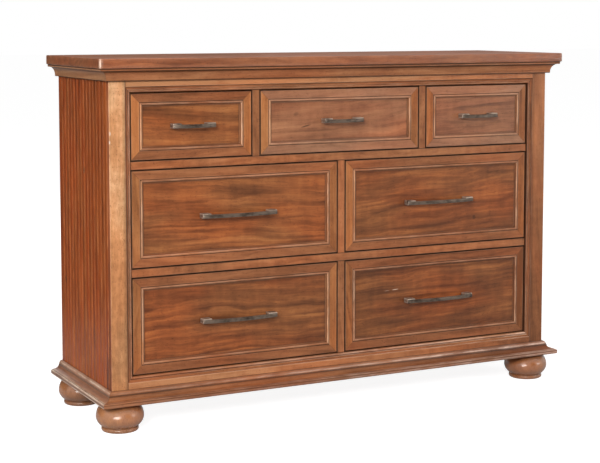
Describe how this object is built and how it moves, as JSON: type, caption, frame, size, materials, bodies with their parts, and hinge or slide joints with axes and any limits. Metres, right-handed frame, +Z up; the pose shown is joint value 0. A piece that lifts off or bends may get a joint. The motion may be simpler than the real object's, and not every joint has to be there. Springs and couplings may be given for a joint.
{
  "type": "dresser",
  "caption": "Bedroom dresser: small drawers over wide ones in a moulded wood case on bun feet; every drawer slides and has a bowed metal pull.",
  "frame": {"origin": "on the floor, under the middle of the whole dresser's box", "axes": "+X along its width to the viewer's right, +Y from the drawer fronts to the back, +Z up"},
  "size_m": [1.42, 0.441, 0.965],
  "materials": {
    "aged_metal": "aged bronze-grey, softly polished",
    "drawer_box_wood": "plain clear-coated light wood",
    "foot_wood": "turned, glossy reddish-brown stain",
    "front_wood": "satin reddish-brown stain over flame-figured grain",
    "moulding_wood": "satin reddish-brown stain, glazed in its hollows",
    "panel_board": "unfinished board",
    "side_wood": "satin red-brown stain",
    "stained_wood": "satin reddish-brown stain with dark glaze in its corners",
    "stile_wood": "satin light tan-brown stain"
  },
  "bodies": {
    "case": {"back_left_foot": "foot_wood", "back_panel": "panel_board", "back_right_foot": "foot_wood", "base_board": "stained_wood", "base_moulding_front": "moulding_wood", "base_moulding_left": "moulding_wood", "base_moulding_right": "moulding_wood", "bottom_divider": "stained_wood", "bottom_rail": "stained_wood", "cornice_front": "moulding_wood", "cornice_left": "moulding_wood", "cornice_right": "moulding_wood", "front_left_foot": "foot_wood", "front_right_foot": "foot_wood", "left_side_panel": "side_wood", "left_stile": "stile_wood", "lower_dust_panel": "panel_board", "lower_row_rail": "stained_wood", "middle_divider": "stained_wood", "middle_dust_panel": "panel_board", "opening_moulding_bottom": "moulding_wood", "opening_moulding_left": "moulding_wood", "opening_moulding_right": "moulding_wood", "opening_moulding_top": "moulding_wood", "right_side_panel": "side_wood", "right_stile": "stile_wood", "top_board": "stained_wood", "top_left_divider": "stained_wood", "top_rail": "stained_wood", "top_right_divider": "stained_wood", "upper_dust_panel": "panel_board", "upper_row_rail": "stained_wood"},
    "top_left_drawer": {"top_left_drawer_front": "front_wood", "top_left_drawer_box": "drawer_box_wood", "top_left_drawer_bottom": "drawer_box_wood", "top_left_drawer_pull": "aged_metal"},
    "top_middle_drawer": {"top_middle_drawer_front": "front_wood", "top_middle_drawer_box": "drawer_box_wood", "top_middle_drawer_bottom": "drawer_box_wood", "top_middle_drawer_pull": "aged_metal"},
    "top_right_drawer": {"top_right_drawer_front": "front_wood", "top_right_drawer_box": "drawer_box_wood", "top_right_drawer_bottom": "drawer_box_wood", "top_right_drawer_pull": "aged_metal"},
    "middle_left_drawer": {"middle_left_drawer_front": "front_wood", "middle_left_drawer_box": "drawer_box_wood", "middle_left_drawer_bottom": "drawer_box_wood", "middle_left_drawer_pull": "aged_metal"},
    "middle_right_drawer": {"middle_right_drawer_front": "front_wood", "middle_right_drawer_box": "drawer_box_wood", "middle_right_drawer_bottom": "drawer_box_wood", "middle_right_drawer_pull": "aged_metal"},
    "bottom_left_drawer": {"bottom_left_drawer_front": "front_wood", "bottom_left_drawer_box": "drawer_box_wood", "bottom_left_drawer_bottom": "drawer_box_wood", "bottom_left_drawer_pull": "aged_metal"},
    "bottom_right_drawer": {"bottom_right_drawer_front": "front_wood", "bottom_right_drawer_box": "drawer_box_wood", "bottom_right_drawer_bottom": "drawer_box_wood", "bottom_right_drawer_pull": "aged_metal"}
  },
  "joints": [
    {"name": "top_left_slide", "type": "slide", "parent": "case", "child": "top_left_drawer", "axis": [0, -1, 0], "range_m": [0, 0.29]},
    {"name": "top_middle_slide", "type": "slide", "parent": "case", "child": "top_middle_drawer", "axis": [0, -1, 0], "range_m": [0, 0.29]},
    {"name": "top_right_slide", "type": "slide", "parent": "case", "child": "top_right_drawer", "axis": [0, -1, 0], "range_m": [0, 0.29]},
    {"name": "middle_left_slide", "type": "slide", "parent": "case", "child": "middle_left_drawer", "axis": [0, -1, 0], "range_m": [0, 0.29]},
    {"name": "middle_right_slide", "type": "slide", "parent": "case", "child": "middle_right_drawer", "axis": [0, -1, 0], "range_m": [0, 0.29]},
    {"name": "bottom_left_slide", "type": "slide", "parent": "case", "child": "bottom_left_drawer", "axis": [0, -1, 0], "range_m": [0, 0.29]},
    {"name": "bottom_right_slide", "type": "slide", "parent": "case", "child": "bottom_right_drawer", "axis": [0, -1, 0], "range_m": [0, 0.29]}
  ]
}
